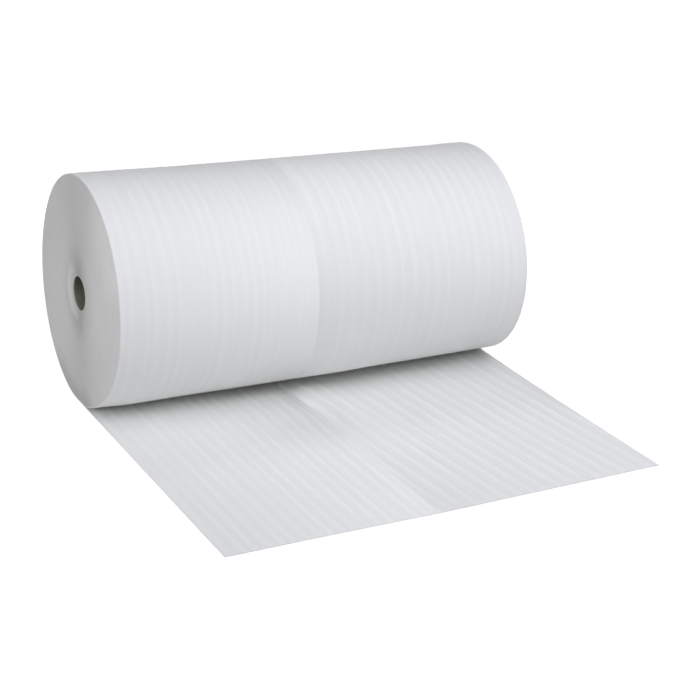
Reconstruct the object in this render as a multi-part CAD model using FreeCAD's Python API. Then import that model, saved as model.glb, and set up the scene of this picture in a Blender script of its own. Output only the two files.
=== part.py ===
import FreeCAD, Part
import math
import os

# A roll of thin foam wrap, lying on its side with a length of its sheet paid out in front.
# The foam is slit lengthwise, so two webs of sheet are wound side by side on one cardboard core.
# Frame: +X runs along the roll's axis, the sheet pays out towards -Y, and +Z is up.
# The origin is on the floor, under the axis and half-way along the roll. Lengths are in millimetres.

# Roll
ROLL_LENGTH = 1000.0            # both webs together, along the axis
ROLL_RADIUS = 254.0             # outside of the outermost turn
SLIT_FROM_MIDDLE = -42.0        # where the slit stands along X
SLIT_GAP = 0.5                  # left between the two webs' cut edges
FOAM_THICKNESS = 2.0

# Flat spot, where the soft roll stands on its own sheet
FLAT_HALF_WIDTH = 25.0
FLAT_SINK = 2.5                 # how far the round comes down onto the flat
NIP_OPENING = 0.5               # height at which the crevice over the sheet closes up

# Free sheet
SHEET_REACH = 770.0             # from under the axis to the front edge

# Core
CORE_BORE_RADIUS = 38.0
CORE_WALL = 3.0
CORE_SETBACK = 2.0              # the core's ends stand this far inside the roll's ends
CORE_CLEARANCE = 0.2            # between the core and the first turn

# Dished middle of each end, where the first turns have drawn in along the core
DISH_WIDTH = 28.0               # from the core's outside to the rim of the dish
DISH_DEPTH = 2.0

HALF_LENGTH = ROLL_LENGTH / 2
AXIS_HEIGHT = ROLL_RADIUS - FLAT_SINK
CORE_RADIUS = CORE_BORE_RADIUS + CORE_WALL
FOAM_BORE_RADIUS = CORE_RADIUS + CORE_CLEARANCE
ALONG_AXIS = FreeCAD.Vector(1, 0, 0)


def section_point(y, z):
    """A point of the roll's cross-section, which is drawn in the plane X = 0."""
    return FreeCAD.Vector(0, y, z)


def on_circle(centre, radius, angle):
    """The point of a section circle at an angle in radians from +Y towards +Z."""
    return centre + section_point(radius * math.cos(angle), radius * math.sin(angle))


def arc(centre, radius, start, end):
    """A section arc between two angles in radians."""
    middle = (start + end) / 2
    points = [on_circle(centre, radius, angle) for angle in (start, middle, end)]
    return Part.Arc(*points).toShape()


def line(start, end):
    return Part.LineSegment(start, end).toShape()


def shoulder_radius(round_radius):
    """Radius of the arc that runs tangent from the flat spot into a round of this radius."""
    return round_radius - (FLAT_HALF_WIDTH ** 2 + FLAT_SINK ** 2) / (2 * FLAT_SINK)


def shoulder_turn(round_radius):
    """Angle from straight down, seen from the round's centre, at which the shoulder meets the round."""
    drop = round_radius - FLAT_SINK - shoulder_radius(round_radius)
    return math.atan2(FLAT_HALF_WIDTH, drop)


def web_section():
    """Outline of one web: its turns as one round, and its free sheet on the floor.

    The outermost turn leaves the floor at the back, climbs over the top and comes down at the front
    one foam thickness further in, so that it stands on the sheet. Its back half and its front half
    are half circles that meet at the top, and their radii differ by half the foam's thickness.
    """
    down = -math.pi / 2
    front_down = math.pi * 3 / 2
    top = math.pi / 2

    back_centre = section_point(0, AXIS_HEIGHT)
    back_turn = shoulder_turn(ROLL_RADIUS)
    back_shoulder_radius = shoulder_radius(ROLL_RADIUS)
    back_shoulder_centre = section_point(FLAT_HALF_WIDTH, back_shoulder_radius)

    front_radius = ROLL_RADIUS - FOAM_THICKNESS / 2
    front_centre = section_point(0, AXIS_HEIGHT + FOAM_THICKNESS / 2)
    front_turn = shoulder_turn(front_radius)
    front_shoulder_radius = shoulder_radius(front_radius)
    front_shoulder_centre = section_point(-FLAT_HALF_WIDTH, FOAM_THICKNESS + front_shoulder_radius)
    nip_turn = math.acos(1 - NIP_OPENING / front_shoulder_radius)

    nip_top = on_circle(front_shoulder_centre, front_shoulder_radius, front_down - nip_turn)
    nip_bottom = section_point(nip_top.y, FOAM_THICKNESS)
    sheet_top = section_point(-SHEET_REACH, FOAM_THICKNESS)
    sheet_bottom = section_point(-SHEET_REACH, 0)
    flat_end = section_point(FLAT_HALF_WIDTH, 0)

    edges = [
        line(sheet_bottom, flat_end),
        arc(back_shoulder_centre, back_shoulder_radius, down, down + back_turn),
        arc(back_centre, ROLL_RADIUS, down + back_turn, top),
        arc(front_centre, front_radius, top, front_down - front_turn),
        arc(front_shoulder_centre, front_shoulder_radius, front_down - front_turn, front_down - nip_turn),
        line(nip_top, nip_bottom),
        line(nip_bottom, sheet_top),
        line(sheet_top, sheet_bottom),
    ]
    return Part.Face(Part.Wire(edges))


def rod(radius, start, end):
    """A round rod on the roll's axis between two places along X."""
    return Part.makeCylinder(radius, end - start, FreeCAD.Vector(start, 0, AXIS_HEIGHT), ALONG_AXIS)


def dish(end_x, inward):
    """The hollow cut in one end of the roll: a cone that narrows down to the core."""
    rim_radius = FOAM_BORE_RADIUS + DISH_WIDTH
    mouth = FreeCAD.Vector(end_x, 0, AXIS_HEIGHT)
    return Part.makeCone(rim_radius, FOAM_BORE_RADIUS, DISH_DEPTH, mouth, ALONG_AXIS * inward)


def web(start, end, dished_end, inward):
    """One wound web with its free sheet, from one place along X to another."""
    body = web_section().translated(ALONG_AXIS * start).extrude(ALONG_AXIS * (end - start))
    body = body.cut(rod(FOAM_BORE_RADIUS, start, end))
    return body.cut(dish(dished_end, inward))


def core_tube():
    """The cardboard tube that both webs are wound on."""
    end = HALF_LENGTH - CORE_SETBACK
    return rod(CORE_RADIUS, -end, end).cut(rod(CORE_BORE_RADIUS, -end, end))


left_slit_edge = SLIT_FROM_MIDDLE - SLIT_GAP / 2
right_slit_edge = SLIT_FROM_MIDDLE + SLIT_GAP / 2

pieces = {
    "core_tube": core_tube(),
    "foam_web_left": web(-HALF_LENGTH, left_slit_edge, -HALF_LENGTH, 1),
    "foam_web_right": web(right_slit_edge, HALF_LENGTH, HALF_LENGTH, -1),
}

os.makedirs("parts", exist_ok=True)
for name, shape in pieces.items():
    shape.exportStep(f"parts/{name}.step")
    print(name, "valid" if shape.isValid() else "NOT VALID", len(shape.Solids), "solid")
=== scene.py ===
import math
import random

import bpy
import numpy as np
from mathutils import Matrix, Vector


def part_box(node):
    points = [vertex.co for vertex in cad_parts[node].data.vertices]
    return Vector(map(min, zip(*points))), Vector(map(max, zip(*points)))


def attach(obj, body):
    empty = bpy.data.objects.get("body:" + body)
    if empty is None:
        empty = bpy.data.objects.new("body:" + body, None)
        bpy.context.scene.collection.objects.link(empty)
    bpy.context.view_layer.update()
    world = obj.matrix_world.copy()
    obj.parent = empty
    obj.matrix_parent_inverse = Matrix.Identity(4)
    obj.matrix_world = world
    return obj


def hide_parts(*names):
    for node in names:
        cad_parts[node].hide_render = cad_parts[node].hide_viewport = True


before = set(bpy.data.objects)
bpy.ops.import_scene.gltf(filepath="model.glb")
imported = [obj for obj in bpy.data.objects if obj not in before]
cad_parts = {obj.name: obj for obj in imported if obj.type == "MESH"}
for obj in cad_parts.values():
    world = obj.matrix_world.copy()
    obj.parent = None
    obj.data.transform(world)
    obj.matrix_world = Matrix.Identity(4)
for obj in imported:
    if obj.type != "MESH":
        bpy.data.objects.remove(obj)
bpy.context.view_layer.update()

# A roll of foam wrap on its side, with a length of its sheet paid out in front.
# Two webs of sheet are wound side by side on one board core.
# Lengths are in metres. +X runs along the roll, the sheet pays out towards -Y, +Z is up.

# Sizes that the frame holds
left_low, left_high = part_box("foam_web_left")
right_low, right_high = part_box("foam_web_right")
core_low, core_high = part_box("core_tube")

LEFT_END = left_low.x
LEFT_SLIT = left_high.x
RIGHT_SLIT = right_low.x
RIGHT_END = right_high.x
ROLL_LENGTH = RIGHT_END - LEFT_END
FRONT_EDGE = left_low.y
ROLL_RADIUS = left_high.y
AXIS_HEIGHT = (core_low.z + core_high.z) / 2
CORE_RADIUS = (core_high.z - core_low.z) / 2
CORE_END = core_high.x

# Winding
FULL_TURN = 2 * math.pi
FOAM_THICKNESS = 0.002
CORE_CLEARANCE = 0.0002
FOAM_BORE = CORE_RADIUS + CORE_CLEARANCE
TURNS = round((ROLL_RADIUS - FOAM_BORE) / FOAM_THICKNESS)
PITCH = (ROLL_RADIUS - FOAM_BORE) / TURNS
TURN_GAP = 0.00015              # air between one turn and the next
STEPS_PER_TURN = 128

# The soft roll's own shape. A pair of numbers holds a value at the left end and at the right end.
PRESS_BLEND = 0.0015            # how softly the round runs into its flat spot
TAPER = -0.014                  # share by which the right end is smaller
LEAN_UP = (0.0105, -0.046)      # how far an end leans along X for each metre up
LEAN_BACK = (0.016, 0.03)       # the same for each metre back
FOOT = (-0.0006, 0.013)         # how far an end stands out along X where it meets the floor
FOOT_FADE = 3                   # how fast the right foot's reach fades along the free sheet
FLARE = 0.0032                  # how much the left end's top stands up
FLARE_REACH = 0.3
BELLY = 0.013                   # how much the roll bulges low on its front, most just right of the slit
BELLY_AT = math.radians(50)     # from straight down
BELLY_WIDTH = math.radians(18)
PINCH = 0.0055                  # how much the left end's foot draws in there
PINCH_AT = math.radians(38)     # from straight down
PINCH_WIDTH = math.radians(24)
PINCH_REACH = 0.08
SHOULDER = 0.0045               # how much fuller the right end is, behind its top
SHOULDER_AT = math.radians(35)  # from straight up
SHOULDER_WIDTH = math.radians(18)
SHOULDER_REACH = 0.12
BOW = 0.0053                    # how much further out the sheet's front edge is at the slit
BOW_POWERS = (2, 1.3)           # how steeply that fades towards the two ends

# From here on, a name with FADE holds two places: where an effect is nothing, and where it is whole.
FRONT_FADE = (0.05, 0.35)       # angle from straight down, where the belly and the pinch set in
BELLY_BROAD_SHARE = 0.55        # share of the belly that spreads along the roll
BELLY_LEFT_FADE = (-0.27, -0.1) # place along X, from the slit
BELLY_RIGHT_FADE = (0.6, 0.3)
BELLY_PEAK_AT = 0.1             # where the rest of it is, in the same terms
BELLY_PEAK_WIDTH = 0.09

# Slit
SLIT_MIDDLE = (LEFT_SLIT + RIGHT_SLIT) / 2
SLIT_CLOSE = 0.00023            # how far each web's soft edge spreads into the slit
SLIT_SWAY = 0.0095              # how far the slit bends to the left where the sheet leaves the roll
SWAY_REACH = 0.1                # how far from the slit the sheet bends with it
SWAY_OUTER_FADE = (-0.28, -0.17)
SWAY_INNER_FADE = (0, -0.09)

# How far the free sheet stands off the floor beside the slit. Outer and inner fades hold places along Y,
# out from the roll and in under it. Near and far fades hold distances from the slit.
LIFT_LEFT = 0.008
LIFT_LEFT_OUTER_FADE = (-0.42, -0.2)
LIFT_LEFT_INNER_FADE = (-0.06, -0.19)
LIFT_LEFT_NEAR_FADE = (0.006, 0.045)
LIFT_LEFT_FAR_FADE = (0.3, 0.045)
LIFT_RIGHT = 0.0065
LIFT_RIGHT_AT_SLIT = 0.15       # share of that lift at the cut edge itself
LIFT_RIGHT_OUTER_FADE = (-0.42, -0.17)
LIFT_RIGHT_INNER_FADE = (-0.085, -0.145)
LIFT_RIGHT_NEAR_FADE = (0, 0.026)
LIFT_RIGHT_FAR_FADE = (0.14, 0.03)
EDGE_UP = 0.0015                # how far the left web's cut edge turns up
EDGE_UP_BY_ROLL = 0.0045        # the same, beside the roll
EDGE_UP_BY_ROLL_FADE = (-0.15, -0.11)
EDGE_UP_FAR_FADE = (0.0065, 0)
CREVICE_SHARE = 0.55            # how much of the crevice under the roll that edge may fill
CREVICE_SPARE = 0.001           # and how much less than that it fills

# Painted light and shade on the free sheet
FRONT_PAINTED_LIGHT = 0.04              # how much paler it is painted towards its front, as painted light
FRONT_PALER_FADE = (-0.33, -0.5)
SLIT_PAINTED_SHADE = 0.1               # painted shade: how much darker it is beside the slit, where it stands off the floor
DULL_OUTER_FADE = (-0.45, -0.3)
DULL_LEFT_INNER_FADE = (-0.13, -0.2)
DULL_LEFT_FAR_FADE = (0.28, 0.03)
DULL_RIGHT_INNER_FADE = (-0.19, -0.27)
DULL_RIGHT_FAR_FADE = (0.4, 0.2)
DULL_RIGHT_WIDE_SHARE = 0.35    # share that reaches on to there, while the rest stays by the slit
DULL_RIGHT_BY_SLIT_FADE = (0.07, 0.02)

# Ends of the roll
DISH_RIM = FOAM_BORE + 0.022    # radius at which an end starts to dish in, down to the core's own end
DISH_FLOOR = FOAM_BORE + 0.002  # radius at which it is at its deepest
STEP_WIDTH = 0.008              # the dish's steep edge, within its rim
STEP_SHARE = 0.5                # share of the dish's depth that the steep edge takes
CROWN = 0.003                   # how far an end swells out within its rim
CROWN_POWER = 6                 # how suddenly that stops at the rim
LIP_HEIGHT = 0.001              # raised ring round the dish
LIP_WIDTH = 0.0035
GROOVE_DEPTH = 0.0006           # between the cut edges of two turns
CREST_NEAR = 0.22               # where a turn's cut edge starts to be flat, as a share of its thickness
CREST_FAR = 0.78                # and where that ends
EDGE_WANDER = 0.0002            # how unevenly the turns' cut edges stand
EDGE_CARRY = 0.6                # how much of that one turn hands on to the next
EVEN_TURNS = 3                  # the outermost turns, over which it fades to nothing

# Ribs along the sheet. For each web: where its rib 0 stands from its left edge and the step to the next
# one, on the free sheet and on the roll, how far they run aside for each metre out from the roll, and how
# strong they are.
WEB_RIBS = {
    "left": {"on_sheet": (0.015, 0.0261), "on_roll": (0.005, 0.0241), "aside": 0.0, "strength": 1.08},
    "right": {"on_sheet": (-0.006, 0.033), "on_roll": (-0.0042, 0.0289), "aside": 0.085, "strength": 1.05},
}
FIRST_RIB = -2                  # the ribs start outside the web, because some of them lean in
RIB_CROWD = 0.017               # how much further on the middle ribs stand on the roll
CROWD_STEPS = 17                # steps from rib 1 to the last one, which don't stand further on
RIB_ASTRAY = 0.0015             # how far a rib may stand off its place
RIB_HALF_WIDTHS = (0.23, 0.29)  # shares of the step between ribs
RIB_STRENGTHS = (0.75, 1.0)
RIB_WANDERS = (0.0002, 0.001)   # how far a rib swings to and fro
RIB_WAVES = (0.5, 1.1)          # length of sheet in which it swings once
RIB_SURGE = 0.25                # share by which a rib's strength comes and goes
RIB_SURGE_WAVE = 0.43           # length of that, as a share of the swing's
RIB_ONTO_ROLL = 0.5             # length of sheet over which the ribs go over to their places on the roll
RIB_EDGE_FADE = (0, 0.006)      # distance from a web's cut edge
RIB_NIP_FADE = (-0.03, -0.09)   # place along Y, where the free sheet runs in under the roll
RIB_TURN_ONSET = 0.3            # angle over which the ribs fade at both ends of the outermost turn
RIB_LOW_FRONT_FADE = (1.45 * math.pi, 1.55 * math.pi)
RIB_LOW_FRONT_LOSS = 0.4        # share of a rib that is missing low on the roll's front
RIB_HEIGHT_ON_ROLL = 0.0006     # drawn flatter there
RIB_HEIGHT_ON_SHEET = 0.0012
RIB_TONE = 0.04                 # how much paler a rib is
RIB_TONE_ON_ROLL = 0.024

# Mesh of the sheet and the turns
FREE_ROWS = 64                  # rows of points along the free sheet
FIRST_ROW = 0.004               # the first of them, back from the front edge
FRONT_ROUNDING = (0, 0.3, 1.0)  # rows that round the front edge, as shares of its rounding
COLUMN_WIDTH = 0.0027           # mesh columns across a web
WALL_COLUMN_WIDTH = 0.01        # the same for the turns under its outermost one
EDGE_STRIP = 0.0075             # beside a web's cut edges, where the columns are closer
EDGE_COLUMN_SHARE = 1 / 3       # and how wide they are there
EDGE_ROUND = 0.0002             # rounding of the sheet's cut edges
EDGE_ROUND_COLUMN = 0.6         # column within that rounding, as a share of it
UV_MARGIN = 0.01                # left free on both sides of a web in its flat layout
SHEET_SHARP = 50                # angle in degrees from which an edge is drawn sharp
CUT_END_SHARP = 75

# Core
CORE_WALL = 0.003
CORE_STEPS = 128
CORE_FINE = 0.06                # length at each end where the mesh is finer
CORE_FINE_ROWS = 31
CORE_MIDDLE_ROWS = 15
CORE_SHARP = 40
PLIES = 4
PLY_GROOVE = 0.0002             # depth between two plies
FRAYS = 6                       # waves round the core that make its cut ends uneven
FRAY_WAVES = (3, 17)            # fewest and most humps of such a wave
FRAY_HEIGHT = 0.00006

# Seeds of the random draws
CORE_SEED = 5
LEFT_SEED = 11
RIGHT_SEED = 23

# Colours
FOAM_WHITE = (0.88, 0.885, 0.871)
FOAM_CUT = (0.823, 0.817, 0.791)
FOAM_BY_CORE = (0.685, 0.688, 0.648)
FOAM_PAINTED_RING_LIGHT = (0.87, 0.87, 0.842)
BOARD_GREY = (0.173, 0.172, 0.135)
BOARD_CUT = (0.63, 0.638, 0.57)
FLOOR_WHITE = (0.9, 0.9, 0.9)
FLOOR_GLOW = 0.9                # how bright the floor shows by itself
FLOOR_CATCH = (0.35, 0.35, 0.35)  # and how much of the light and the shadow shows on top of that

# Painted shade: darker wedges above and below the core, where the cut edges lie level
WEDGE_MIDDLE = -0.08            # sine of the angle from upright, towards the back
WEDGE_WIDTH = 0.54
WEDGE_PAINTED_SHADES = (0.12, 0.05)     # at the axis and at the rim
WEDGE_BY_CORE = 0.06            # added to that beside the core
STAIN_RADIUS = 0.12             # within which the foam greys towards the core

# Painted light: a paler ring round the core. It shows at the back.
RING_RADIUS = 0.058
RING_UP = 0.005                 # how far its middle stands over the axis
RING_WIDTH = 0.0098
PAINTED_RING_SHARE = 0.7
RING_TOWARDS = (0.94, -0.34)    # back and up
RING_FADE = (-0.25, 0.6)        # cosine of the angle from there

# Painted light and shade beside the roll's rim: a paler patch at the upper front, and a duller one where
# the roll stands
PALE_TOWARDS = (-0.743, 0.669)  # back and up
PALE_FADE = (0.8, 1.0)          # cosine of the angle from there
PALE_RIM_FADE = (0.45, 0.95)    # share of the roll's radius
PAINTED_PALE_SHARE = 0.12
DULL_TOWARDS = (0.139, -0.99)
DULL_FADE = (0.82, 1.0)
DULL_RIM_FADE = (0.74, 1.0)
PAINTED_DULL_SHARE = 0.2

# Painted light and shade from one edge of a web to the other, which swings to and fro along the sheet, and
# faster further on
WEB_PAINTED_SHADE = 0.09
WEB_SWINGS = (0.72, 0.157)      # swings for each metre along, and for each metre squared
LINES_ACROSS = 60.0             # fine lines drawn along the sheet, across a web
LINES_ALONG = 1.6               # how often they change, for each metre along

# Grain of the foam. A pair of shades or of roughness is what a noise from 0 to 1 is spread over.
SHEET_GRAIN = {"Cells per Metre": 900.0, "Dimples per Metre": 160.0, "Clouds per Metre": 14.0}
CUT_GRAIN = {"Cells per Metre": 1300.0, "Dimples per Metre": 260.0, "Clouds per Metre": 9.0}
CELL_RELIEF = 0.25              # share of the grain's height
DIMPLE_RELIEF = 0.75
SHEET_GRAIN_HEIGHT = 0.0002
CUT_GRAIN_HEIGHT = 0.0004
LINE_HEIGHT = 0.0005
GRAIN_SHADES = (0.96, 1.04)
SHEET_ROUGHNESS = (0.55, 0.68)
CUT_ROUGHNESS = (0.7, 0.85)

# Core's board
FIBRES_PER_METRE = 600.0
FIBRE_SHADES = (0.85, 1.15)
FIBRE_RELIEF = 0.3              # share of the seam's depth
BLOTCHES_PER_METRE = 45.0
BLOTCH_SHADES = (0.9, 1.1)
BOARD_ROUGHNESS = (0.4, 0.55)
SEAM_SHADES = (0.7, 1.0)
SEAM_DEPTH = 0.0005
STRIP_WIDTH = 0.11              # of board, from one seam of its spiral to the next
SEAM_FADE = (0.0, 0.016)        # share of a strip
DEEP_FADE = (0.028, 0.045)      # distance from the core's end, where its inside gets darker with painted shade
DEEP_SHADES = (1.0, 0.35)
BORE_PAINTED_SHADE_HEIGHTS = (-0.02, 0.036)   # over the axis. The lower part of the bore is painted paler and its upper part darker, as painted light and shade.
BORE_PAINTED_SHADES = (1.3, 0.35)
CUT_AND_LIT_MOUTH_FADE = (0.0035, 0.0015)     # distance from the core's end, where the pale colour of cut board starts. It runs a little way into the bore too, as painted light at its mouth.

# Light
LIGHT_COLOUR = (0.948, 0.952, 1.0)
AMBIENT = 0.142
GLOW = 0.62                     # how much more comes from the brightest side
GLOW_FROM = (-0.5, -0.5, 0.7071)
GLOW_POWER = 2.0                # how fast it falls off away from there
# For each softbox: its place, the point that it is turned to, its width and height, and its watts
SOFTBOXES = {
    "front_softbox": ((0.1, -1.09, 1.19), (0.0, -0.1, 0.3), (2.0, 0.6), 7.8),
    "top_softbox": ((0.1, -0.65, 1.6), (0.0, -0.22, 0.2), (2.4, 0.6), 4.1),
    "left_softbox": ((-1.6, -0.6, 0.8), (-0.4, 0.0, 0.3), (0.8, 0.8), 1.85),
    "back_softbox": ((0.3, 1.5, 0.28), (0.0, 0.1, 0.25), (2.2, 0.4), 9.0),
    "right_softbox": ((1.5, 1.1, 0.45), (0.45, 0.0, 0.25), (0.8, 0.5), 2.0),
}

# Floor
FLOOR_SIZE = 120
FLOOR_DROP = 0.0004             # just under the sheet, so that the two don't share a plane

# Camera
CAMERA_PLACE = (-1.62409, -3.15831, 1.45841)
CAMERA_YAW = 0.51842            # to the right of +Y
CAMERA_PITCH = 0.37614          # down from level
CAMERA_ROLL = 0.05364
LENS = 84.252
SENSOR_WIDTH = 36
VIEW_END = 200                  # nothing further off is drawn


def blend(start, end, value):
    """0 up to start, 1 from end on, and a smooth rise between them. Start may be the larger of the two."""
    share = np.clip((np.asarray(value, float) - start) / (end - start), 0, 1)
    return share * share * (3 - 2 * share)


def softer_max(value, least, width):
    """The larger of two values, rounded off over a width where they cross."""
    return (value + least + np.sqrt((value - least) ** 2 + width ** 2)) / 2


def hump(value, middle, width):
    """1 at the middle, and a smooth fall to 0 on both sides of it."""
    return np.exp(-((value - middle) / width) ** 2)


# ---------------- winding


def turn_radius(turned):
    """Outside radius of the winding, after turning this far from where the sheet reaches the roll."""
    return ROLL_RADIUS - PITCH * turned / FULL_TURN


def press_lift(turned):
    """How far the outermost turn is lifted by the floor, or by the sheet that it stands on."""
    angle = np.mod(turned, FULL_TURN)
    low = AXIS_HEIGHT - turn_radius(angle) * np.cos(angle)
    floor = np.where(angle > math.pi, FOAM_THICKNESS, 0.0)
    return np.where(low < AXIS_HEIGHT, softer_max(low, floor, PRESS_BLEND) - low, 0.0)


def wound_point(turned, radius):
    """Y and Z of a point of the winding. Its flat spot fades out towards the core."""
    depth = np.clip((radius - FOAM_BORE) / (turn_radius(np.mod(turned, FULL_TURN)) - FOAM_BORE), 0, None)
    y = radius * np.sin(turned)
    z = AXIS_HEIGHT - radius * np.cos(turned) + press_lift(turned) * depth ** 3
    return y, z


def swell(x, up, front):
    """How much further out the outermost turn lies at a place along the roll.

    up is 1 at the top and 0 at the bottom, and front is the angle from straight down towards the front.
    """
    flare = FLARE * blend(FLARE_REACH, 0, x - LEFT_END) * up
    from_slit = x - SLIT_MIDDLE
    broad = blend(*BELLY_LEFT_FADE, from_slit) * blend(*BELLY_RIGHT_FADE, from_slit)
    peak = hump(from_slit, BELLY_PEAK_AT, BELLY_PEAK_WIDTH)
    along = BELLY_BROAD_SHARE * broad + (1 - BELLY_BROAD_SHARE) * peak
    belly = BELLY * along * hump(front, BELLY_AT, BELLY_WIDTH)
    pinch = PINCH * blend(PINCH_REACH, 0, x - LEFT_END) * hump(front, PINCH_AT, PINCH_WIDTH)
    behind_top = np.where(front < 0, front + math.pi, front - math.pi)
    shoulder = SHOULDER * blend(SHOULDER_REACH, 0, RIGHT_END - x)
    shoulder = shoulder * hump(behind_top, SHOULDER_AT, SHOULDER_WIDTH)
    return flare + (belly - pinch) * blend(*FRONT_FADE, front) + shoulder


def settle(x, y, z, held):
    """The points of the wound turns as the soft roll lies. held runs from 0 at the core to 1 outside."""
    share = (x - LEFT_END) / ROLL_LENGTH
    radius = np.hypot(y, z - AXIS_HEIGHT)
    outward = swell(x, (1 + (z - AXIS_HEIGHT) / radius) / 2, np.arctan2(-y, AXIS_HEIGHT - z)) * held
    y = y * (1 + outward / radius)
    z = AXIS_HEIGHT + (z - AXIS_HEIGHT) * (1 + outward / radius)
    lean_up = LEAN_UP[0] + (LEAN_UP[1] - LEAN_UP[0]) * share
    lean_back = LEAN_BACK[0] + (LEAN_BACK[1] - LEAN_BACK[0]) * share
    foot = FOOT[0] + (FOOT[1] - FOOT[0]) * share
    shrink = 1 + TAPER * share * held
    return np.stack([x + foot + lean_up * z + lean_back * y, y * shrink, z * shrink], axis=-1)


def left_lift(y, from_slit):
    """How far the left web's free sheet stands off the floor, at a distance from the slit."""
    share = blend(*LIFT_LEFT_OUTER_FADE, y) * blend(*LIFT_LEFT_INNER_FADE, y)
    share = share * blend(*LIFT_LEFT_NEAR_FADE, from_slit) * blend(*LIFT_LEFT_FAR_FADE, from_slit)
    crevice = AXIS_HEIGHT - np.sqrt(np.clip(ROLL_RADIUS ** 2 - y ** 2, 0, None))
    edge_up = EDGE_UP + (EDGE_UP_BY_ROLL - EDGE_UP) * blend(*EDGE_UP_BY_ROLL_FADE, y)
    room = np.clip(crevice * CREVICE_SHARE - CREVICE_SPARE, 0, None)
    edge_up = np.minimum(edge_up * blend(*LIFT_LEFT_OUTER_FADE, y), room)
    return LIFT_LEFT * share + edge_up * blend(*EDGE_UP_FAR_FADE, from_slit)


def right_lift(y, from_slit):
    """The same for the right web."""
    along = blend(*LIFT_RIGHT_OUTER_FADE, y) * blend(*LIFT_RIGHT_INNER_FADE, y)
    near = LIFT_RIGHT_AT_SLIT + (1 - LIFT_RIGHT_AT_SLIT) * blend(*LIFT_RIGHT_NEAR_FADE, from_slit)
    return LIFT_RIGHT * along * near * blend(*LIFT_RIGHT_FAR_FADE, from_slit)


def slit_lift(x, y):
    """How far the free sheet stands off the floor beside the slit, near the roll."""
    left = left_lift(y, np.clip(LEFT_SLIT - x, 0, None))
    right = right_lift(y, np.clip(x - RIGHT_SLIT, 0, None))
    return np.where(x > SLIT_MIDDLE, right, left)


def painted_light_on_free_sheet(x, y):
    """Painted light and shade on the free sheet: how much lighter or darker it is painted at a place."""
    left = blend(*DULL_LEFT_FAR_FADE, LEFT_SLIT - x) * blend(*DULL_LEFT_INNER_FADE, y)
    by_slit = (1 - DULL_RIGHT_WIDE_SHARE) * blend(*DULL_RIGHT_BY_SLIT_FADE, x - RIGHT_SLIT)
    right = (DULL_RIGHT_WIDE_SHARE + by_slit) * blend(*DULL_RIGHT_FAR_FADE, x - RIGHT_SLIT)
    right = right * blend(*DULL_RIGHT_INNER_FADE, y)
    painted_dullness = np.where(x > SLIT_MIDDLE, right, left) * blend(*DULL_OUTER_FADE, y)
    return FRONT_PAINTED_LIGHT * blend(*FRONT_PALER_FADE, y) - SLIT_PAINTED_SHADE * painted_dullness


def lay(x, y, z):
    """The points of the free sheet as it lies, square with the roll's foot under the roll."""
    share = (x - LEFT_END) / ROLL_LENGTH
    foot = FOOT[0] * (1 - share) + FOOT[1] * share * (1 - y / FRONT_EDGE) ** FOOT_FADE
    left_share = np.clip((x - LEFT_END) / (LEFT_SLIT - LEFT_END), 0, 1)
    right_share = np.clip((RIGHT_END - x) / (RIGHT_END - RIGHT_SLIT), 0, 1)
    bow = BOW * left_share ** BOW_POWERS[0] * right_share ** BOW_POWERS[1] * y / FRONT_EDGE
    sway = SLIT_SWAY * hump(x, SLIT_MIDDLE, SWAY_REACH)
    sway = sway * blend(*SWAY_OUTER_FADE, y) * blend(*SWAY_INNER_FADE, y)
    return np.stack(np.broadcast_arrays(x + foot - sway, y - bow, z + slit_lift(x, y)), axis=-1)


# ---------------- meshes


def grid_quads(rows, columns, wrap=False):
    """The quads of a grid of points, row by row. With wrap, the last column joins the first."""
    steps_across = columns if wrap else columns - 1
    row, column = np.meshgrid(np.arange(rows - 1), np.arange(steps_across), indexing="ij")
    after = (column + 1) % columns
    corners = [row * columns + column, row * columns + after]
    corners += [(row + 1) * columns + after, (row + 1) * columns + column]
    return np.stack(corners, axis=-1).reshape(-1, 4)


def make_piece(name, points, quads, material, uv=None, tone_and_painted_light=None, sharp_angle=SHEET_SHARP):
    """A mesh object in the frame, smooth but for its cut edges.

    Seen from outside, the corners of each quad are given clockwise. The mesh needs them the other way.
    """
    corners = quads[:, ::-1].ravel()
    mesh = bpy.data.meshes.new(name)
    mesh.vertices.add(len(points))
    mesh.vertices.foreach_set("co", np.asarray(points, np.float32).ravel())
    mesh.loops.add(corners.size)
    mesh.loops.foreach_set("vertex_index", corners.astype(np.int32))
    mesh.polygons.add(len(quads))
    mesh.polygons.foreach_set("loop_start", (np.arange(len(quads)) * 4).astype(np.int32))
    mesh.update(calc_edges=True)
    if uv is not None:
        layer = mesh.uv_layers.new(name="along_sheet")
        layer.data.foreach_set("uv", uv[corners].astype(np.float32).ravel())
    if tone_and_painted_light is not None:
        mesh.attributes.new("tone_and_painted_light", "FLOAT", "POINT").data.foreach_set("value", tone_and_painted_light.astype(np.float32))
    mesh.polygons.foreach_set("use_smooth", np.ones(len(quads), bool))
    mesh.set_sharp_from_angle(angle=math.radians(sharp_angle))
    mesh.materials.append(material)
    piece = bpy.data.objects.new(name, mesh)
    bpy.context.scene.collection.objects.link(piece)
    return piece


# ---------------- ribs


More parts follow.
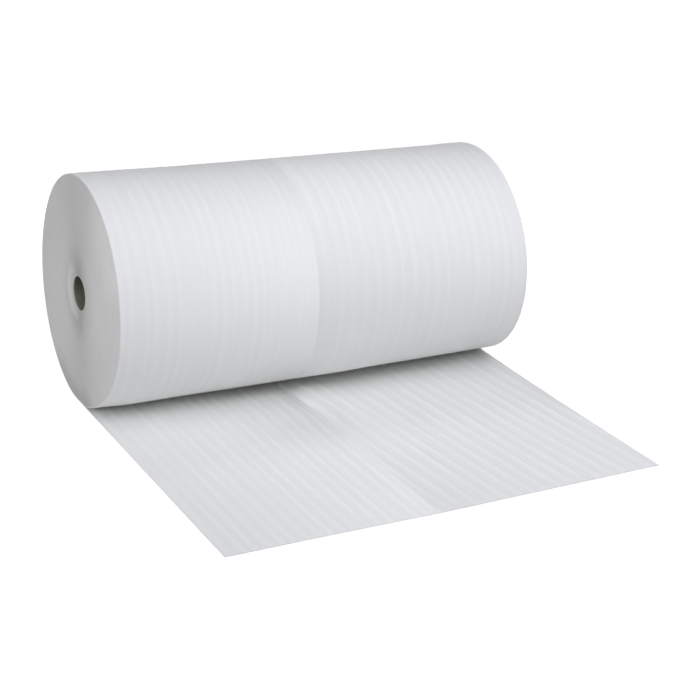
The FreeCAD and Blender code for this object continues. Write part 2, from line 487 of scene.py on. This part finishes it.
def make_ribs(web, width, seed):
    """One web's ribs: where each stands on the free sheet and on the roll, its size, and how it wanders."""
    rng = random.Random(seed)
    sheet_first, sheet_step = web["on_sheet"]
    roll_first, roll_step = web["on_roll"]
    ribs = []
    for number in range(FIRST_RIB, math.ceil(width / roll_step)):
        astray = rng.uniform(-RIB_ASTRAY, RIB_ASTRAY)
        crowd = RIB_CROWD * math.sin(math.pi * (number - 1) / CROWD_STEPS)
        ribs.append({
            "on_sheet": sheet_first + sheet_step * number + astray,
            "on_roll": roll_first + roll_step * number + crowd + astray,
            "half_width": roll_step * rng.uniform(*RIB_HALF_WIDTHS),
            "height": web["strength"] * rng.uniform(*RIB_STRENGTHS),
            "wander": rng.uniform(*RIB_WANDERS),
            "wave": rng.uniform(*RIB_WAVES),
            "phase": rng.uniform(0, FULL_TURN),
        })
    return ribs


def rib_relief(web, ribs, across, along):
    """Height of the ribs, from 0 to about 1, over a grid of places along and across the web."""
    relief = np.zeros((len(along), len(across)))
    distance = along[:, None]
    on_roll = blend(0, RIB_ONTO_ROLL, distance + FRONT_EDGE)
    aside = web["aside"] * np.clip(-FRONT_EDGE - distance, 0, None)
    for rib in ribs:
        swing = np.sin(FULL_TURN * distance / rib["wave"] + rib["phase"])
        surge = np.sin(FULL_TURN * distance / (rib["wave"] * RIB_SURGE_WAVE) + rib["phase"])
        place = rib["on_sheet"] * (1 - on_roll) + rib["on_roll"] * on_roll + aside + rib["wander"] * swing
        relief += rib["height"] * (1 + RIB_SURGE * surge) * hump(across[None, :], place, rib["half_width"])
    return relief


def roll_rib_fade(turned):
    """How much of the ribs shows on the outermost turn."""
    fade = blend(0, RIB_TURN_ONSET, turned) * blend(FULL_TURN, FULL_TURN - RIB_TURN_ONSET, turned)
    return fade * (1 - RIB_LOW_FRONT_LOSS * blend(*RIB_LOW_FRONT_FADE, turned))


# ---------------- one web's sheet


def cuts_across(start, end):
    """Places across a web, close together at its two cut edges."""
    close = np.arange(2 * EDGE_ROUND, EDGE_STRIP, COLUMN_WIDTH * EDGE_COLUMN_SHARE)
    margin = np.array([0, EDGE_ROUND * EDGE_ROUND_COLUMN, *close])
    inner = np.linspace(start + EDGE_STRIP, end - EDGE_STRIP, round((end - start) / COLUMN_WIDTH))
    return np.concatenate([start + margin, inner, end - margin[::-1]])


def edge_drop(from_edge):
    """How far the sheet's faces draw in towards its middle, at a distance from a cut edge."""
    reach = np.clip(1 - from_edge / (2 * EDGE_ROUND), 0, 1)
    return EDGE_ROUND * (1 - np.sqrt(np.clip(1 - reach ** 2, 0, 1)))


def free_sides(places, free, relief, drop):
    """The free sheet's underside, which lies on the floor, and its upper side, which shows the ribs."""
    x, y = np.meshgrid(places, free)
    drop = drop + edge_drop(y - FRONT_EDGE)
    stand = RIB_HEIGHT_ON_SHEET * relief * blend(*RIB_NIP_FADE, y)
    return lay(x, y, drop), lay(x, y, FOAM_THICKNESS - TURN_GAP + stand - drop)


def turn_sides(places, turned, relief, drop):
    """The outside and the inside of the outermost turn. The sheet's underside has become its outside."""
    x, angle = np.meshgrid(places, turned)
    stand = RIB_HEIGHT_ON_ROLL * relief
    outside = turn_radius(angle) + stand - drop
    inside = turn_radius(angle) - PITCH + TURN_GAP + stand + drop
    return [settle(x, *wound_point(angle, radius), 1.0) for radius in (outside, inside)]


def strip_quads(stations, columns):
    """The quads of a closed strip. Each of its rings runs over one side and back over the other."""
    ring = 2 * columns
    quads = [grid_quads(stations, ring, wrap=True)]
    column = np.arange(columns - 1)
    for first, flip in ((0, False), ((stations - 1) * ring, True)):
        cap = np.stack([first + column, first + ring - 1 - column,
                        first + ring - 2 - column, first + column + 1], axis=-1)
        quads.append(cap[:, ::-1] if flip else cap)
    return np.concatenate(quads)


def flat_layout(start, end, places, along, web_number):
    """Where each point of a web's strip lies on the flat sheet, across it as a share and along it."""
    share = (np.concatenate([places, places[::-1]]) - start) / (end - start)
    share = share * (1 - 2 * UV_MARGIN) + UV_MARGIN + web_number
    return np.stack(np.broadcast_arrays(share[None, :], along[:, None]), axis=-1).reshape(-1, 2)


def make_sheet(name, start, end, seed, web, web_number, material):
    """The free sheet of one web and, in one piece with it, the roll's outermost turn."""
    places = cuts_across(start, end)
    free = np.concatenate([
        FRONT_EDGE + np.array(FRONT_ROUNDING) * EDGE_ROUND,
        np.linspace(FRONT_EDGE + FIRST_ROW, 0, FREE_ROWS, endpoint=False),
    ])
    turned = np.linspace(0, FULL_TURN, STEPS_PER_TURN + 1)
    along = np.concatenate([free - FRONT_EDGE, -FRONT_EDGE + turned * ROLL_RADIUS])

    from_edge = np.minimum(places - start, end - places)[None, :]
    drop = edge_drop(from_edge)
    relief = rib_relief(web, make_ribs(web, end - start, seed), places - start, along)
    relief = relief * blend(*RIB_EDGE_FADE, from_edge)
    on_sheet = relief[:len(free)]
    on_roll = relief[len(free):] * roll_rib_fade(turned)[:, None]

    under, upper = free_sides(places, free, on_sheet, drop)
    outside, inside = turn_sides(places, turned, on_roll, drop)
    one_side = np.concatenate([under, outside])
    other_side = np.concatenate([upper, inside])
    points = np.concatenate([one_side, other_side[:, ::-1]], axis=1).reshape(-1, 3)

    # Paler ribs, with the free sheet's painted light and shade
    free_shade = on_sheet * RIB_TONE + painted_light_on_free_sheet(places[None, :], free[:, None])
    tone_and_painted_light = 1 + np.concatenate([free_shade, on_roll * RIB_TONE_ON_ROLL]) - RIB_TONE / 2
    tone_and_painted_light = np.concatenate([tone_and_painted_light, tone_and_painted_light[:, ::-1]], axis=1).ravel()
    uv = flat_layout(start, end, places, along, web_number)
    return make_piece(name, points, strip_quads(len(along), len(places)), material, uv, tone_and_painted_light)


# ---------------- one web's turns


# A cut end is a spiral of grooves between turns, with two crests across each turn's edge.
GROOVES = STEPS_PER_TURN * (TURNS - 1) + 1
CRESTS = STEPS_PER_TURN * (TURNS - 2) + 1
POINTS_PER_END = GROOVES + 2 * CRESTS


def edge_offsets(rng):
    """How far each turn's cut edge stands out from the end of the roll, as an uneven walk."""
    walk = []
    value = 0.0
    for _ in range(TURNS + 2):
        value = EDGE_CARRY * value + rng.gauss(0, 1)
        walk.append(value)
    return np.array(walk) * EDGE_WANDER


def end_profile(end_x, outward, radius):
    """How far an outer end of the roll stands out: a crown, a lip, and a dish down to the core."""
    leaning = settle(np.array(end_x), np.array(0.0), np.array(AXIS_HEIGHT + CORE_RADIUS), 0.0)[0]
    depth = CROWN + outward * leaning - CORE_END
    step = STEP_SHARE * blend(DISH_RIM, DISH_RIM - STEP_WIDTH, radius)
    slope = (1 - STEP_SHARE) * blend(DISH_RIM, DISH_FLOOR, radius)
    crown = CROWN * (1 - (radius / ROLL_RADIUS) ** CROWN_POWER)
    return crown + LIP_HEIGHT * hump(radius, DISH_RIM, LIP_WIDTH) - depth * (step + slope)


def cut_end(end_x, outward, rng):
    """The points of one cut end: a groove between turns, and two points across each turn's edge."""
    at_slit = LEFT_END < end_x < RIGHT_END
    offsets = edge_offsets(rng) * (0 if at_slit else 1)
    turn_numbers = np.arange(len(offsets))
    rows = []
    for inward_share, depth in ((0.0, GROOVE_DEPTH), (CREST_NEAR, 0.0), (CREST_FAR, 0.0)):
        is_groove = inward_share == 0
        index = STEPS_PER_TURN + np.arange(GROOVES if is_groove else CRESTS)
        turned = index * FULL_TURN / STEPS_PER_TURN
        radius = turn_radius(turned) - PITCH * inward_share
        stand = np.interp(index / STEPS_PER_TURN, turn_numbers, offsets)
        if is_groove:
            radius = np.where(index > STEPS_PER_TURN * (TURNS - 1), FOAM_BORE, radius)
            stand = (stand + np.interp(index / STEPS_PER_TURN - 1, turn_numbers, offsets)) / 2
        profile = 0.0 if at_slit else end_profile(end_x, outward, radius)
        stand = stand * blend(ROLL_RADIUS - PITCH, ROLL_RADIUS - EVEN_TURNS * PITCH, radius)
        rows.append(wound_and_settled(end_x + outward * (stand - depth + profile), turned, radius))
    return rows


def wound_and_settled(x, turned, radius):
    """Points of the winding at places along the roll. They follow the soft roll less towards the core."""
    y, z = wound_point(turned, radius)
    outer = turn_radius(np.mod(turned, FULL_TURN))
    held = np.clip((radius - FOAM_BORE) / (outer - FOAM_BORE), 0, 1)
    return settle(x, y, z, held)


def wall_rings(start, end):
    """Rings of points on the outside of the second turn, from one end of the web to the other."""
    turned = FULL_TURN * (1 + np.append(np.arange(STEPS_PER_TURN + 1) / STEPS_PER_TURN, [0, 0]))
    radius = turn_radius(turned) - PITCH * np.append(np.zeros(STEPS_PER_TURN + 1), [CREST_FAR, CREST_NEAR])
    places = np.linspace(start, end, round((end - start) / WALL_COLUMN_WIDTH))[1:-1]
    return [wound_and_settled(np.full(len(turned), x), turned, radius) for x in places]


def groove(i, side):
    """Numbers of the groove's points at the left or the right cut end."""
    return side * POINTS_PER_END + i


def crest(which, i, side):
    """Numbers of the points on a crest, the outer or the inner one."""
    return side * POINTS_PER_END + GROOVES + which * CRESTS + i


def cut_end_quads(side):
    """The quads of one cut end, three across each turn's edge."""
    i = np.arange(CRESTS - 1)
    lines = [(groove(i, side), groove(i + 1, side)),
             (crest(0, i, side), crest(0, i + 1, side)),
             (crest(1, i, side), crest(1, i + 1, side)),
             (groove(i + STEPS_PER_TURN, side), groove(i + STEPS_PER_TURN + 1, side))]
    quads = []
    for (a, b), (c, d) in zip(lines, lines[1:]):
        corners = [a, b, d, c] if side == 0 else [a, c, d, b]
        quads.append(np.stack(corners, axis=-1))
    return quads


def wall_loop(first, side):
    """Numbers of the points round a whole turn at a cut end, closed over its crests."""
    round_turn = groove(first + np.arange(STEPS_PER_TURN + 1), side)
    return np.append(round_turn, [crest(1, first, side), crest(0, first, side)])


def wall_quads(columns):
    """The quads from each loop of points to the next."""
    quads = []
    for a, b in zip(columns, columns[1:]):
        quads.append(np.stack([a, b, np.roll(b, -1), np.roll(a, -1)], axis=-1))
    return quads


def make_turns(name, start, end, seed, material):
    """All the turns of one web within its outermost one, as one body with both its cut ends."""
    rng = random.Random(seed)
    ends = [cut_end(start, -1, rng), cut_end(end, 1, rng)]
    rings = wall_rings(start, end)
    points = np.concatenate([row for rows in ends for row in rows] + rings)

    outer = [wall_loop(0, side) for side in (0, 1)]
    bore = [wall_loop(CRESTS - 1, side) for side in (0, 1)]
    ring = np.arange(len(outer[0]))
    between = [2 * POINTS_PER_END + number * len(ring) + ring for number in range(len(rings))]
    quads = cut_end_quads(0) + cut_end_quads(1)
    quads += wall_quads([outer[0], *between, outer[1]])
    quads += [quad[:, ::-1] for quad in wall_quads(bore)]
    return make_piece(name, points, np.concatenate(quads), material, sharp_angle=CUT_END_SHARP)


# ---------------- core


def make_core(name, material):
    """The board core. Its plies show at its cut ends, which are slightly uneven."""
    rng = random.Random(CORE_SEED)
    near = np.linspace(0, CORE_FINE, CORE_FINE_ROWS)
    middle = np.linspace(CORE_FINE, 2 * CORE_END - CORE_FINE, CORE_MIDDLE_ROWS + 2)[1:-1]
    stations = np.concatenate([near, middle, 2 * CORE_END - near[::-1]]) - CORE_END
    angle = np.linspace(0, FULL_TURN, CORE_STEPS, endpoint=False)
    bore = CORE_RADIUS - CORE_WALL
    radii = np.linspace(CORE_RADIUS, bore, 2 * PLIES + 1)[1:-1]
    depths = [PLY_GROOVE if number % 2 else 0.0 for number in range(len(radii))]
    frays = [(rng.randint(*FRAY_WAVES), rng.uniform(0, FULL_TURN)) for _ in range(FRAYS)]
    fray = sum(np.sin(humps * angle + phase) for humps, phase in frays) * FRAY_HEIGHT

    rows = [ring_row(x, CORE_RADIUS, angle) for x in stations]
    rows += [ring_row(CORE_END - depth, radius, angle, fray) for radius, depth in zip(radii, depths)]
    rows += [ring_row(x, bore, angle) for x in stations[::-1]]
    back = zip(radii[::-1], depths[::-1])
    rows += [ring_row(depth - CORE_END, radius, angle, fray) for radius, depth in back]
    points = np.concatenate(rows)
    quads = grid_quads(len(rows) + 1, CORE_STEPS, wrap=True) % len(points)
    return make_piece(name, points, quads[:, ::-1], material, sharp_angle=CORE_SHARP)


def ring_row(x, radius, angle, along=0.0):
    """A ring of points about the roll's axis."""
    return np.stack([np.broadcast_to(x + along, angle.shape), radius * np.sin(angle),
                     AXIS_HEIGHT - radius * np.cos(angle)], axis=-1)


# ---------------- shader nodes


def add(tree, kind, inputs=None, **settings):
    """A node with its settings. An input is given as a plain value or as the output it is linked to."""
    node = tree.nodes.new(kind)
    for name, value in settings.items():
        setattr(node, name, value)
    for socket, value in (inputs or {}).items():
        if isinstance(value, bpy.types.NodeSocket):
            tree.links.new(value, node.inputs[socket])
        else:
            node.inputs[socket].default_value = value
    return node


def maths(tree, operation, first, second=0.0, third=0.0):
    """A math node's result."""
    return add(tree, "ShaderNodeMath", {0: first, 1: second, 2: third}, operation=operation).outputs[0]


def times(tree, first, second):
    """The product of two values."""
    return maths(tree, "MULTIPLY", first, second)


def spread(tree, value, low, high):
    """A value from 0 to 1, spread over another range."""
    return ranged(tree, value, (0.0, 1.0), (low, high))


def ranged(tree, value, given, wanted, kind="LINEAR"):
    """A value spread from one range over another, and held at its ends."""
    inputs = {"Value": value, "From Min": given[0], "From Max": given[1]}
    inputs.update({"To Min": wanted[0], "To Max": wanted[1]})
    return add(tree, "ShaderNodeMapRange", inputs, interpolation_type=kind).outputs["Result"]


def smooth(tree, value, given, whole=1.0):
    """0 where an effect is nothing, its whole value where it is whole, and a smooth rise between them."""
    return ranged(tree, value, given, (0.0, whole), "SMOOTHSTEP")


def mixed_colour(tree, share, first, second):
    """A colour between two others."""
    return add(tree, "ShaderNodeMix", {"Factor": share, 6: first, 7: second}, data_type="RGBA").outputs[2]


def scaled_colour(tree, colour, value):
    """A colour made lighter or darker by a value."""
    grey = add(tree, "ShaderNodeCombineColor", {"Red": value, "Green": value, "Blue": value})
    inputs = {"Factor": 1.0, 6: colour, 7: grey.outputs["Color"]}
    mix = add(tree, "ShaderNodeMix", inputs, data_type="RGBA", blend_type="MULTIPLY")
    return mix.outputs[2]


def new_group(name, inputs, outputs):
    """A shader node group with named sockets, and its input and output nodes."""
    tree = bpy.data.node_groups.new(name, "ShaderNodeTree")
    for socket, kind, value in inputs:
        made = tree.interface.new_socket(socket, in_out="INPUT", socket_type=kind)
        if value is not None:
            made.default_value = value
    for socket in outputs:
        tree.interface.new_socket(socket, in_out="OUTPUT", socket_type="NodeSocketFloat")
    return tree, tree.nodes.new("NodeGroupInput").outputs, tree.nodes.new("NodeGroupOutput")


def foam_grain_group():
    """The foam's closed cells and soft dimples, as a height and a faint shade."""
    inputs = [("Position", "NodeSocketVector", None)]
    inputs += [(socket, "NodeSocketFloat", per_metre) for socket, per_metre in SHEET_GRAIN.items()]
    tree, given, result = new_group("foam_grain", inputs, ["Height", "Shade"])
    position = given["Position"]
    cells = add(tree, "ShaderNodeTexVoronoi", {"Vector": position, "Scale": given["Cells per Metre"]},
                feature="SMOOTH_F1")
    dimples = noise(tree, position, given["Dimples per Metre"], detail=2.0)
    clouds = noise(tree, position, given["Clouds per Metre"], detail=3.0)
    cell_dip = times(tree, cells.outputs["Distance"], -CELL_RELIEF)
    height = maths(tree, "MULTIPLY_ADD", dimples, DIMPLE_RELIEF, cell_dip)
    tree.links.new(height, result.inputs["Height"])
    tree.links.new(clouds, result.inputs["Shade"])
    return tree


def noise(tree, position, scale, detail):
    """Soft noise from 0 to 1."""
    inputs = {"Vector": position, "Scale": scale, "Detail": detail}
    return add(tree, "ShaderNodeTexNoise", inputs).outputs["Fac"]


def new_material(name):
    """A new material, with its tree and its surface shader."""
    material = bpy.data.materials.new(name)
    material.use_nodes = True
    tree = material.node_tree
    return material, tree, tree.nodes["Principled BSDF"]


def group_node(tree, group, inputs):
    """The outputs of a node group in use."""
    return add(tree, "ShaderNodeGroup", inputs, node_tree=group).outputs


def link_surface(tree, shader, colour, height, roughness, strength, specular):
    """Links a material's colour, relief and roughness to its shader. The height is in metres."""
    tree.links.new(colour, shader.inputs["Base Color"])
    bump = add(tree, "ShaderNodeBump", {"Height": height, "Strength": strength, "Distance": 1.0})
    tree.links.new(bump.outputs[0], shader.inputs["Normal"])
    tree.links.new(roughness, shader.inputs["Roughness"])
    shader.inputs["Specular IOR Level"].default_value = specular


def foam_sheet_material(grain):
    """Satin white foam, with fine lines drawn along it, and painted light and shade across each web."""
    material, tree, shader = new_material("foam_sheet")
    position = add(tree, "ShaderNodeTexCoord").outputs["Object"]
    layout = add(tree, "ShaderNodeUVMap", uv_map="along_sheet").outputs[0]
    place = add(tree, "ShaderNodeSeparateXYZ", {0: layout}).outputs
    web_share = maths(tree, "FRACT", place["X"])

    lines_at = add(tree, "ShaderNodeCombineXYZ", {"X": times(tree, place["X"], LINES_ACROSS),
                                                  "Y": times(tree, place["Y"], LINES_ALONG)})
    lines = noise(tree, lines_at.outputs[0], scale=1.0, detail=3.0)
    grains = group_node(tree, grain, {"Position": position})

    # Painted light and shade across each web, which swings along the sheet
    swings = maths(tree, "MULTIPLY_ADD", place["Y"], WEB_SWINGS[1], WEB_SWINGS[0])
    swings = times(tree, place["Y"], swings)
    swing = maths(tree, "COSINE", times(tree, swings, FULL_TURN))
    across = times(tree, maths(tree, "SUBTRACT", web_share, 0.5), WEB_PAINTED_SHADE)
    web_painted_shade = maths(tree, "MULTIPLY_ADD", swing, across, 1.0)
    # The ribs' paler tone and the free sheet's painted light and shade
    tone_and_painted_light = add(tree, "ShaderNodeAttribute", attribute_name="tone_and_painted_light").outputs["Fac"]
    shade = times(tree, web_painted_shade, spread(tree, lines, *GRAIN_SHADES))
    shade = times(tree, shade, tone_and_painted_light)

    line_height = times(tree, lines, LINE_HEIGHT)
    height = maths(tree, "MULTIPLY_ADD", grains["Height"], SHEET_GRAIN_HEIGHT, line_height)
    roughness = spread(tree, grains["Shade"], *SHEET_ROUGHNESS)
    colour = scaled_colour(tree, (*FOAM_WHITE, 1), shade)
    link_surface(tree, shader, colour, height, roughness, strength=0.5, specular=0.1)
    return material


def place_on_end(tree, position):
    """The radius of a place on the roll's end, and its shares of that radius back and up from the axis."""
    place = add(tree, "ShaderNodeSeparateXYZ", {0: position}).outputs
    up = maths(tree, "SUBTRACT", place["Z"], AXIS_HEIGHT)
    square = maths(tree, "MULTIPLY_ADD", up, up, times(tree, place["Y"], place["Y"]))
    radius = maths(tree, "SQRT", square)
    return radius, maths(tree, "DIVIDE", place["Y"], radius), maths(tree, "DIVIDE", up, radius)


def bell(tree, value, middle, width):
    """1 where a value is at the middle, and a smooth fall to 0 on both sides of it."""
    offset = maths(tree, "DIVIDE", maths(tree, "SUBTRACT", value, middle), width)
    return maths(tree, "EXPONENT", times(tree, times(tree, offset, offset), -1.0))


def towards(tree, back, up, direction, given):
    """1 where a place on the roll's end lies in a direction from the axis, and 0 far from it."""
    along = maths(tree, "MULTIPLY_ADD", back, direction[0], times(tree, up, direction[1]))
    return smooth(tree, along, given)


def foam_cut_colour(tree, by_core, radius, back, up):
    """The colour of the roll's ends: greyer beside the core, but for a paler ring of painted light."""
    ring_radius = maths(tree, "MULTIPLY_ADD", up, -RING_UP, radius)
    # Painted light on a ring round the dish, strongest at the back
    ring = times(tree, bell(tree, ring_radius, RING_RADIUS, RING_WIDTH), PAINTED_RING_SHARE)
    ring = times(tree, ring, towards(tree, back, up, RING_TOWARDS, RING_FADE))
    colour = mixed_colour(tree, by_core, (*FOAM_CUT, 1), (*FOAM_BY_CORE, 1))
    return mixed_colour(tree, ring, colour, (*FOAM_PAINTED_RING_LIGHT, 1))


def foam_cut_material(grain):
    """The cut edges of the foam's turns: open cells, so a little duller, with painted wedges of shade and
    painted patches of light and shade.
    """
    material, tree, shader = new_material("foam_cut_edges")
    position = add(tree, "ShaderNodeTexCoord").outputs["Object"]
    radius, back, up = place_on_end(tree, position)
    radius_share = maths(tree, "DIVIDE", radius, ROLL_RADIUS)
    by_core = smooth(tree, radius, (STAIN_RADIUS, FOAM_BORE))
    # Painted shade in wedges above and below the core
    painted_wedge_shade = maths(tree, "MULTIPLY_ADD", by_core, WEDGE_BY_CORE, spread(tree, radius_share, *WEDGE_PAINTED_SHADES))
    painted_wedge_shade = times(tree, painted_wedge_shade, bell(tree, back, WEDGE_MIDDLE, WEDGE_WIDTH))
    # Painted light at the rim's upper front, and painted shade where the roll stands
    painted_paleness = times(tree, smooth(tree, radius_share, PALE_RIM_FADE, PAINTED_PALE_SHARE),
                 towards(tree, back, up, PALE_TOWARDS, PALE_FADE))
    painted_dullness = times(tree, smooth(tree, radius_share, DULL_RIM_FADE, PAINTED_DULL_SHARE),
                 towards(tree, back, up, DULL_TOWARDS, DULL_FADE))
    grains = group_node(tree, grain, {"Position": position, **CUT_GRAIN})
    shade = maths(tree, "SUBTRACT", spread(tree, grains["Shade"], *GRAIN_SHADES), painted_wedge_shade)
    shade = maths(tree, "ADD", shade, maths(tree, "SUBTRACT", painted_paleness, painted_dullness))
    colour = scaled_colour(tree, foam_cut_colour(tree, by_core, radius, back, up), shade)
    height = times(tree, grains["Height"], CUT_GRAIN_HEIGHT)
    roughness = spread(tree, grains["Shade"], *CUT_ROUGHNESS)
    link_surface(tree, shader, colour, height, roughness, strength=0.6, specular=0.15)
    return material


def board_material():
    """Grey recycled board, wound in a spiral, with flecks and a seam between its strips, and painted light
    and shade inside its bore.
    """
    material, tree, shader = new_material("core_board")
    position = add(tree, "ShaderNodeTexCoord").outputs["Object"]
    place = add(tree, "ShaderNodeSeparateXYZ", {0: position}).outputs
    up = maths(tree, "SUBTRACT", place["Z"], AXIS_HEIGHT)
    turn = maths(tree, "DIVIDE", maths(tree, "ARCTAN2", place["Y"], up), FULL_TURN)
    spiral = maths(tree, "FRACT", maths(tree, "ADD", maths(tree, "DIVIDE", place["X"], STRIP_WIDTH), turn))
    from_seam = maths(tree, "ABSOLUTE", maths(tree, "SUBTRACT", spiral, 0.5))
    seam = ranged(tree, from_seam, SEAM_FADE, (0.0, 1.0))
    fibres = noise(tree, position, FIBRES_PER_METRE, detail=4.0)
    clouds = noise(tree, position, BLOTCHES_PER_METRE, detail=3.0)
    shade = times(tree, spread(tree, fibres, *FIBRE_SHADES), spread(tree, clouds, *BLOTCH_SHADES))
    shade = times(tree, shade, spread(tree, seam, *SEAM_SHADES))
    from_end = maths(tree, "SUBTRACT", CORE_END, maths(tree, "ABSOLUTE", place["X"]))
    # Painted shade deeper in the bore
    deep_painted_shade = ranged(tree, from_end, DEEP_FADE, DEEP_SHADES)
    # Painted light low in the bore and painted shade high in it
    bore_painted_light = ranged(tree, up, BORE_PAINTED_SHADE_HEIGHTS, BORE_PAINTED_SHADES)
    inside = scaled_colour(tree, (*BOARD_GREY, 1), times(tree, deep_painted_shade, bore_painted_light))
    # Pale cut board at the core's end, and painted light just inside its mouth
    cut_and_painted_light = ranged(tree, from_end, CUT_AND_LIT_MOUTH_FADE, (0.0, 1.0))
    colour = scaled_colour(tree, mixed_colour(tree, cut_and_painted_light, inside, (*BOARD_CUT, 1)), shade)
    height = times(tree, maths(tree, "MULTIPLY_ADD", fibres, FIBRE_RELIEF, seam), SEAM_DEPTH)
    roughness = spread(tree, clouds, *BOARD_ROUGHNESS)
    link_surface(tree, shader, colour, height, roughness, strength=0.6, specular=0.5)
    return material


# ---------------- floor, light and camera


def sees_background(tree):
    """1 for the rays that look at the background itself: seen directly, mirrored or through glass."""
    rays = add(tree, "ShaderNodeLightPath").outputs
    either = maths(tree, "MAXIMUM", rays["Is Camera Ray"], rays["Is Glossy Ray"])
    return maths(tree, "MAXIMUM", either, rays["Is Transmission Ray"])


def make_floor():
    """A white floor that keeps a soft shadow of the roll."""
    bpy.ops.mesh.primitive_plane_add(size=FLOOR_SIZE)
    floor = bpy.context.object
    floor.name = "studio_floor"
    floor.location.z = -FLOOR_DROP
    material, tree, shader = new_material("studio_floor")
    shader.inputs["Base Color"].default_value = (*FLOOR_WHITE, 1)
    shader.inputs["Roughness"].default_value = 0.9
    shader.inputs["Specular IOR Level"].default_value = 0.0
    glow = add(tree, "ShaderNodeEmission", {"Color": (1, 1, 1, 1), "Strength": FLOOR_GLOW})
    catch = add(tree, "ShaderNodeBsdfDiffuse", {"Color": (*FLOOR_CATCH, 1)})
    shown = add(tree, "ShaderNodeAddShader", {0: glow.outputs[0], 1: catch.outputs[0]})
    show_instead(tree, shader, shown, "Material Output")
    floor.data.materials.append(material)


def show_instead(tree, usual, shown, output):
    """Links a shader to the output, with another in its place for the rays that look at the background."""
    inputs = {0: sees_background(tree), 1: usual.outputs[0], 2: shown.outputs[0]}
    mix = add(tree, "ShaderNodeMixShader", inputs)
    tree.links.new(mix.outputs[0], tree.nodes[output].inputs["Surface"])


def make_world():
    """Soft studio light, strongest from the front left and above, and a plain white background."""
    world = bpy.data.worlds.new("studio")
    bpy.context.scene.world = world
    world.use_nodes = True
    tree = world.node_tree
    around = tree.nodes["Background"]
    around.inputs["Color"].default_value = (*LIGHT_COLOUR, 1)
    toward = add(tree, "ShaderNodeTexCoord").outputs["Generated"]
    facing = add(tree, "ShaderNodeVectorMath", {0: toward, 1: GLOW_FROM}, operation="DOT_PRODUCT")
    glow = maths(tree, "POWER", maths(tree, "MAXIMUM", facing.outputs["Value"], 0.0), GLOW_POWER)
    tree.links.new(maths(tree, "MULTIPLY_ADD", glow, GLOW, AMBIENT), around.inputs["Strength"])
    white = add(tree, "ShaderNodeBackground", {"Color": (1, 1, 1, 1), "Strength": 1.0})
    show_instead(tree, around, white, "World Output")


def make_softbox(name, place, aim, size, watts):
    """A soft rectangular lamp that the camera doesn't see."""
    lamp = bpy.data.lights.new(name, "AREA")
    lamp.shape = "RECTANGLE"
    lamp.size, lamp.size_y = size
    lamp.energy = watts
    lamp.color = LIGHT_COLOUR
    box = bpy.data.objects.new(name, lamp)
    bpy.context.scene.collection.objects.link(box)
    box.location = place
    box.rotation_euler = (Vector(aim) - Vector(place)).to_track_quat("-Z", "Y").to_euler()
    box.visible_camera = False
    box.visible_glossy = False


def make_camera():
    """The camera, in front on the left and above."""
    camera = bpy.data.cameras.new("camera")
    camera.sensor_width = SENSOR_WIDTH
    camera.lens = LENS
    camera.clip_end = VIEW_END
    ahead = Vector((math.sin(CAMERA_YAW) * math.cos(CAMERA_PITCH),
                    math.cos(CAMERA_YAW) * math.cos(CAMERA_PITCH), -math.sin(CAMERA_PITCH)))
    level = Vector((math.cos(CAMERA_YAW), -math.sin(CAMERA_YAW), 0))
    upright = level.cross(ahead)
    right = math.cos(CAMERA_ROLL) * level + math.sin(CAMERA_ROLL) * upright
    up = -math.sin(CAMERA_ROLL) * level + math.cos(CAMERA_ROLL) * upright
    holder = bpy.data.objects.new("camera", camera)
    bpy.context.scene.collection.objects.link(holder)
    turn = Matrix((right, up, -ahead)).transposed().to_4x4()
    holder.matrix_world = Matrix.Translation(CAMERA_PLACE) @ turn
    bpy.context.scene.camera = holder


# ---------------- the whole roll


def make_roll():
    """The two webs, each as its sheet and its turns, and the core."""
    grain = foam_grain_group()
    sheet_finish = foam_sheet_material(grain)
    cut_finish = foam_cut_material(grain)
    webs = [("left", LEFT_END, LEFT_SLIT + SLIT_CLOSE, LEFT_SEED),
            ("right", RIGHT_SLIT - SLIT_CLOSE, RIGHT_END, RIGHT_SEED)]
    for number, (side, start, end, seed) in enumerate(webs):
        node = f"foam_web_{side}"
        sheet = make_sheet(f"foam_sheet_{side}", start, end, seed, WEB_RIBS[side], number, sheet_finish)
        turns = make_turns(f"foam_turns_{side}", start, end, seed, cut_finish)
        for piece in (sheet, turns):
            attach(piece, "root")
            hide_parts(node)
    core = make_core("board_core", board_material())
    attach(core, "root")
    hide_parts("core_tube")


bpy.context.scene.view_settings.view_transform = "Standard"
make_roll()
make_floor()
make_world()
for softbox, setting in SOFTBOXES.items():
    make_softbox(softbox, *setting)
make_camera()

bpy.context.view_layer.update()
